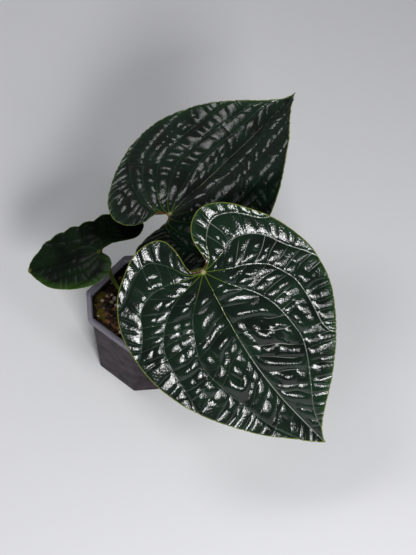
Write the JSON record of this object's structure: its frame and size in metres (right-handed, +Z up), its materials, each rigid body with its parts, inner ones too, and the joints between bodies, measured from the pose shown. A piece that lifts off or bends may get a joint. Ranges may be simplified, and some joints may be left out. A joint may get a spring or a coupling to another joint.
{
  "type": "anthurium luxurians in pot",
  "caption": "Potted aroid houseplant with broad heart-shaped, deeply quilted dark green leaves on short stalks in a small frosted square pot with cut corners.",
  "frame": {"origin": "centre of the pot's flat underside, on the surface that the pot stands on", "axes": "+Z up along the pot's axis; seen from the picture's side, +X is to the right and +Y is away"},
  "size_m": [0.2726, 0.2692, 0.2089],
  "materials": {
    "frosted_plastic": "frosted, translucent",
    "aroid_mix": "rough bark and pumice",
    "stem": "dull, scarred",
    "leaf": "glossy, waxy, quilted",
    "young_leaf": "satin, waxy",
    "petiole": "satin"
  },
  "bodies": {
    "root": {"pot": "frosted_plastic", "potting_mix": "aroid_mix", "crown": "stem", "blade_front": "leaf", "blade_rear": "leaf", "blade_left": "young_leaf", "petiole_front": "petiole", "petiole_rear": "petiole", "petiole_left": "petiole"}
  },
  "joints": []
}
